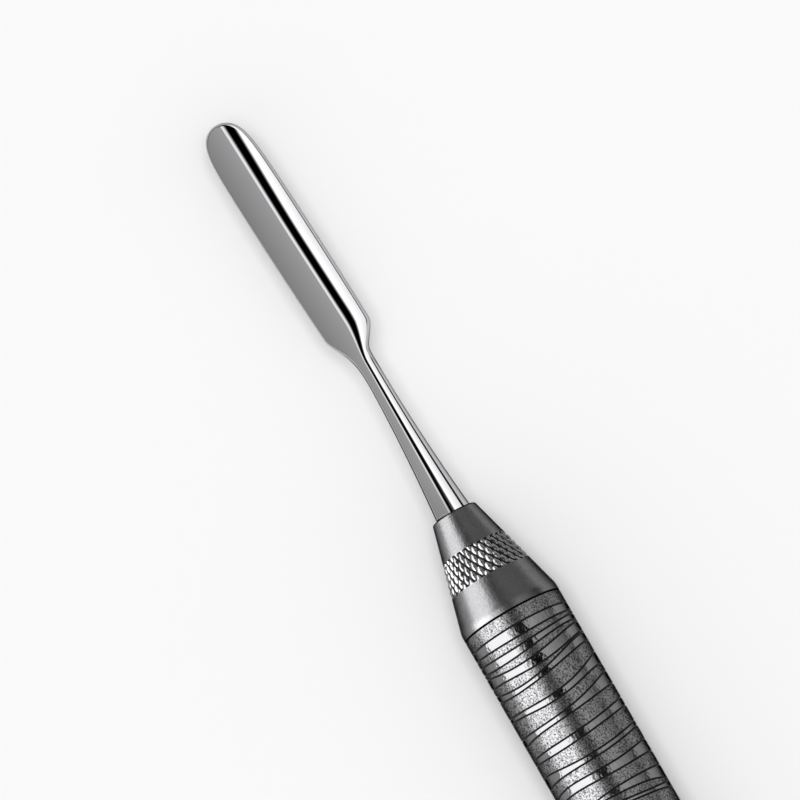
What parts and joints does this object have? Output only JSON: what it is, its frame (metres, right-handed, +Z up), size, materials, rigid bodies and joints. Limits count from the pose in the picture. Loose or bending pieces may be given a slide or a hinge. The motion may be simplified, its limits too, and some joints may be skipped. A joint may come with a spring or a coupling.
{
  "type": "sinus lift instrument",
  "caption": "Long blunt spatula blade with a rounded back ridge on a slim tapered shank, set in a knurled cone on a round hollow handle.",
  "frame": {"origin": "middle of the instrument's length, under the handle's axis, on the surface that it lies on", "axes": "+X along the handle towards the blade's tip, +Z up, away from that surface, on the side that the blade's ridge faces; +Y is the side that the blade is bent to"},
  "size_m": [0.165, 0.01, 0.01],
  "materials": {
    "polished_steel": "mirror polished",
    "satin_steel": "bead blasted satin",
    "banded_steel": "wavy polished and matt bands"
  },
  "bodies": {
    "root": {"working_end": "polished_steel", "front_ferrule": "satin_steel", "handle_tube": "banded_steel", "rear_cap": "satin_steel"}
  },
  "joints": []
}
